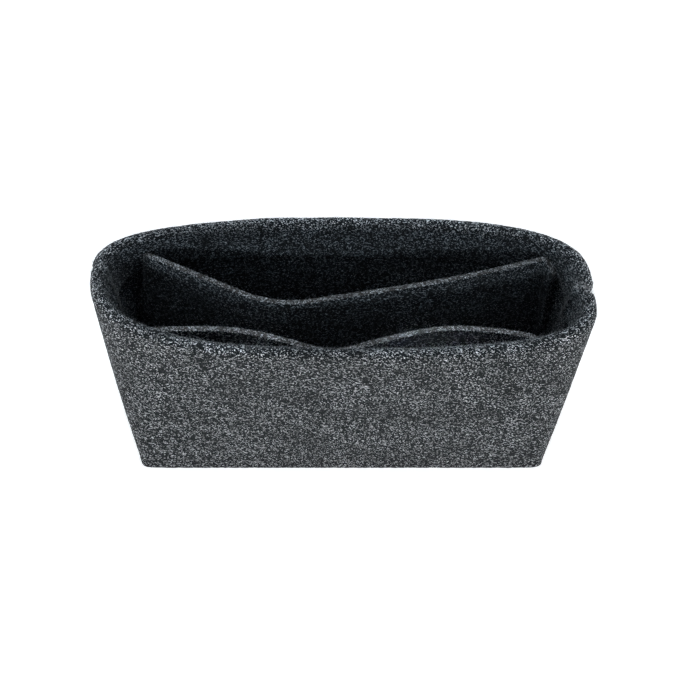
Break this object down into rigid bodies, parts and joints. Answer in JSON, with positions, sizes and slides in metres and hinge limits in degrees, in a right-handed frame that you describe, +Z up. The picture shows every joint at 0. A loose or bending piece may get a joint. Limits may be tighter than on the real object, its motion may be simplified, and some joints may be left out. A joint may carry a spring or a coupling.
{
  "type": "purse organizer insert",
  "caption": "Open felt tub that stands inside a handbag, with a folded rim, a slip pocket along the back and sewn pockets along the front.",
  "frame": {"origin": "on the surface it stands on, under the middle of the base", "axes": "+Z up, +X along the length to the right of the front, +Y from the pocket side towards the slip pocket at the back"},
  "size_m": [0.2294, 0.0931, 0.086],
  "materials": {
    "felt": "charcoal felt of mixed light and dark fibres, matt and slightly fuzzy",
    "thread": "dark polyester sewing thread"
  },
  "bodies": {
    "root": {"front_wall": "felt", "back_wall": "felt", "base_panel": "felt", "divider_panel": "felt", "pocket_strip": "felt", "left_side_seam": "thread", "right_side_seam": "thread", "base_seam": "thread", "pocket_left_seam": "thread", "pocket_centre_seam": "thread", "pocket_right_seam": "thread", "divider_left_seam": "thread", "divider_right_seam": "thread"}
  },
  "joints": []
}
